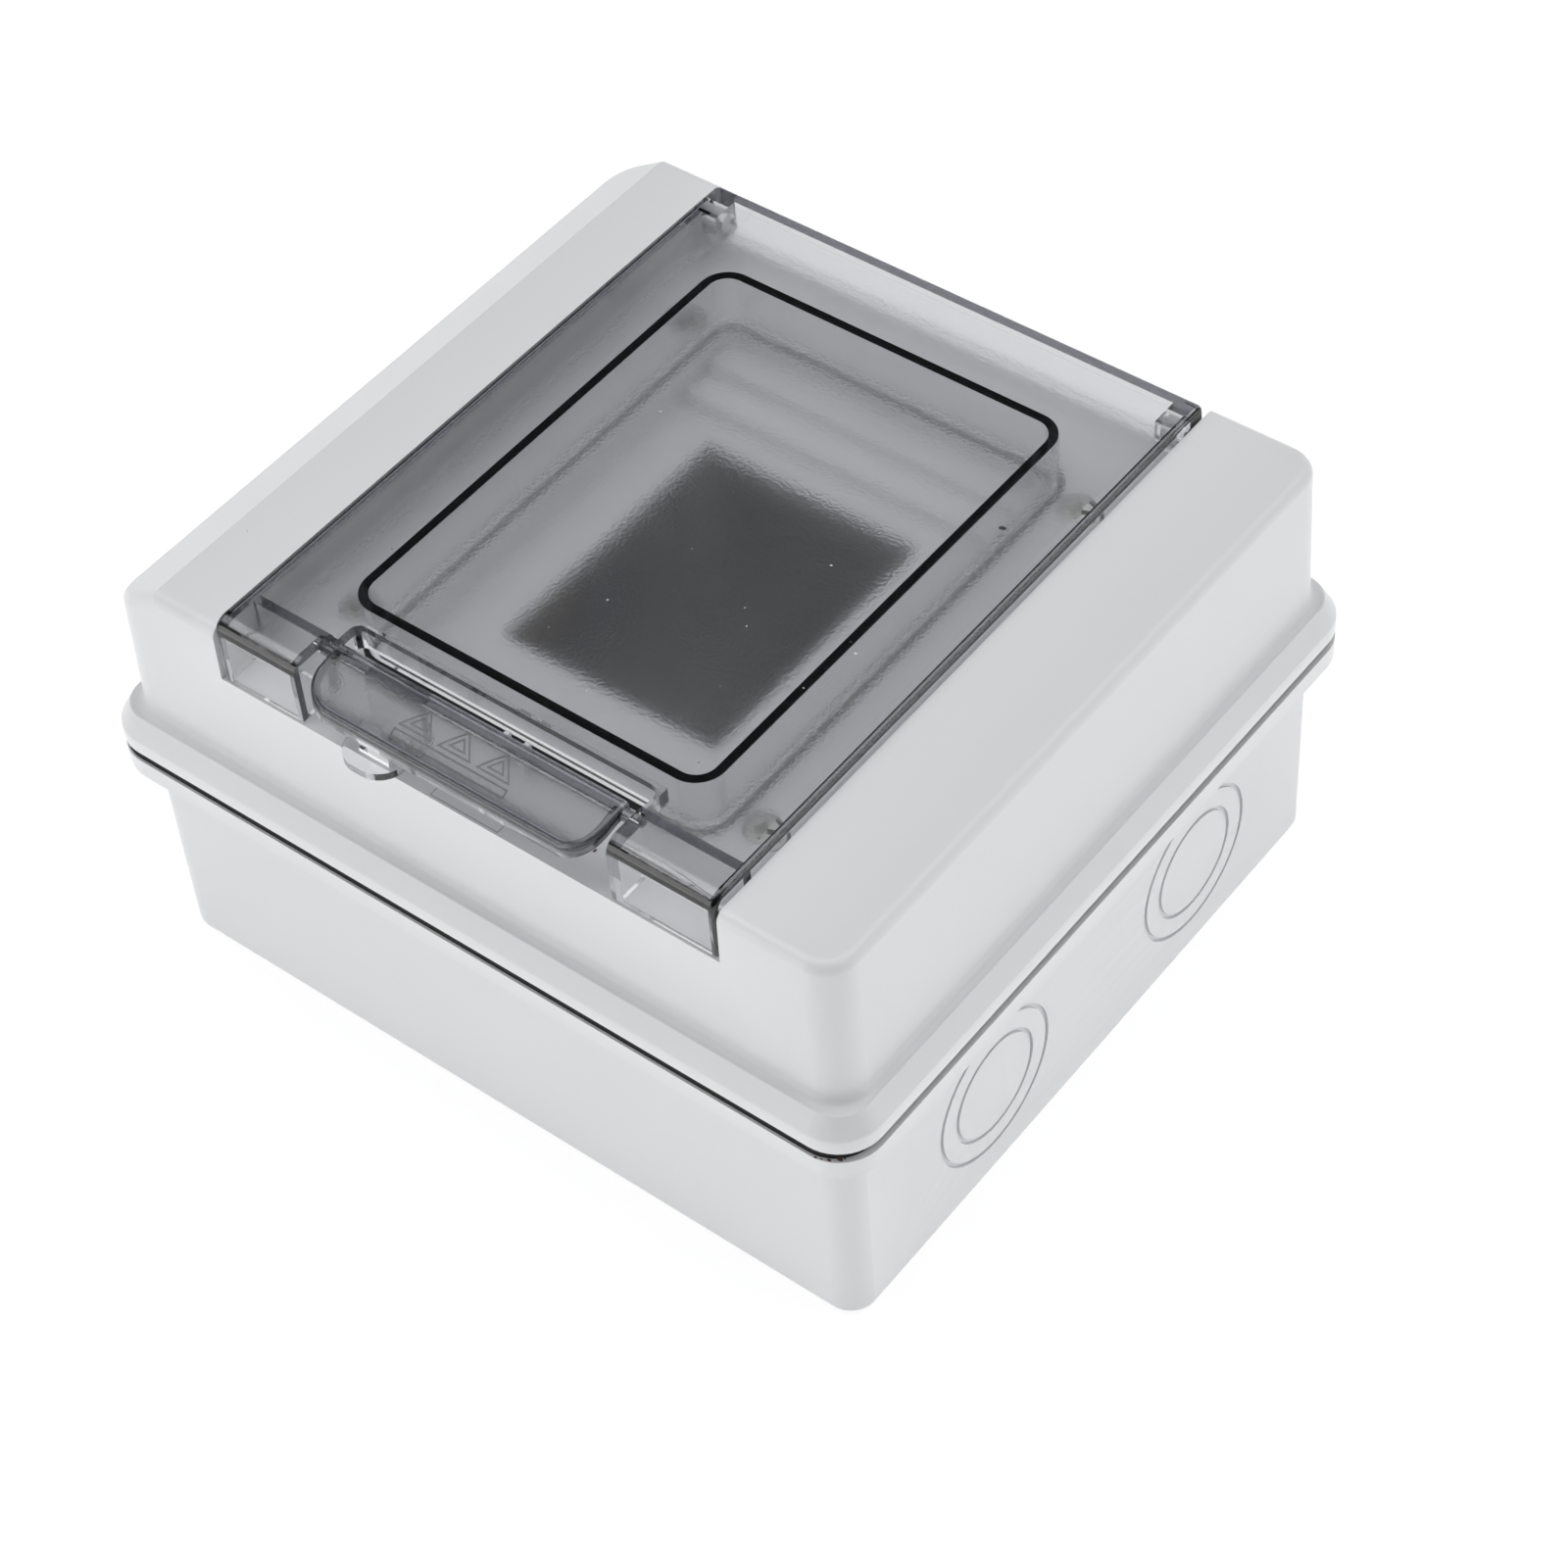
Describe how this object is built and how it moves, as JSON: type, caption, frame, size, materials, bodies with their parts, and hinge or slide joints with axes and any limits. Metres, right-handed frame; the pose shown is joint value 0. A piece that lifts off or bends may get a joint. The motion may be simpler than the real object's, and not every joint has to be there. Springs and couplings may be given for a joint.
{
  "type": "breaker box",
  "caption": "Surface-mount breaker box: grey two-part enclosure with a smoky hinged window door, finger latch, cable knockouts, DIN rail and terminal bars.",
  "frame": {"origin": "middle of the back face that lies against the wall, below the middle of the flange", "axes": "+Z out of the wall through the door, +X along the latch side of the box, +Y from the latch to the hinge"},
  "size_m": [0.1604, 0.1442, 0.091],
  "materials": {
    "grey_abs": "light grey moulded ABS, fine satin",
    "grey_abs_cover": "light grey moulded ABS, fine satin",
    "black_foam": "black closed-cell foam seal",
    "zinc_screw": "bright zinc-plated steel",
    "smoky_pc": "smoky clear polycarbonate, frosted under the window",
    "smoky_pc_lever": "smoky clear polycarbonate",
    "dark_nylon": "dark nylon pin",
    "galvanised_steel": "galvanised steel strip",
    "blue_nylon": "blue nylon",
    "green_nylon": "green nylon",
    "brass": "bright drawn brass"
  },
  "bodies": {
    "enclosure": {"base": "grey_abs", "cover_gasket": "black_foam", "front_cover": "grey_abs_cover", "cover_screws": "zinc_screw", "screw_seals": "black_foam", "door_gasket": "black_foam", "hinge_pin_left": "dark_nylon", "hinge_pin_right": "dark_nylon", "din_rail": "galvanised_steel", "rail_screws": "zinc_screw", "neutral_carrier": "blue_nylon", "neutral_bar": "brass", "neutral_screws": "zinc_screw", "neutral_fixing_screws": "zinc_screw", "earth_carrier": "green_nylon", "earth_bar": "brass", "earth_screws": "zinc_screw", "earth_fixing_screws": "zinc_screw"},
    "door": {"door": "smoky_pc"},
    "latch": {"latch_lever": "smoky_pc_lever"}
  },
  "joints": [
    {"name": "door_hinge", "type": "hinge", "parent": "enclosure", "child": "door", "pos_m": [0.00135, 0.061, 0.0855], "axis": [-1, 0, 0], "range_deg": [0, 110]},
    {"name": "latch_flex", "type": "hinge", "parent": "door", "child": "latch", "pos_m": [-0.00025, -0.0597, 0.0889], "axis": [-1, 0, 0], "range_deg": [0, 12], "stiffness_Nm_per_rad": 0.02}
  ]
}
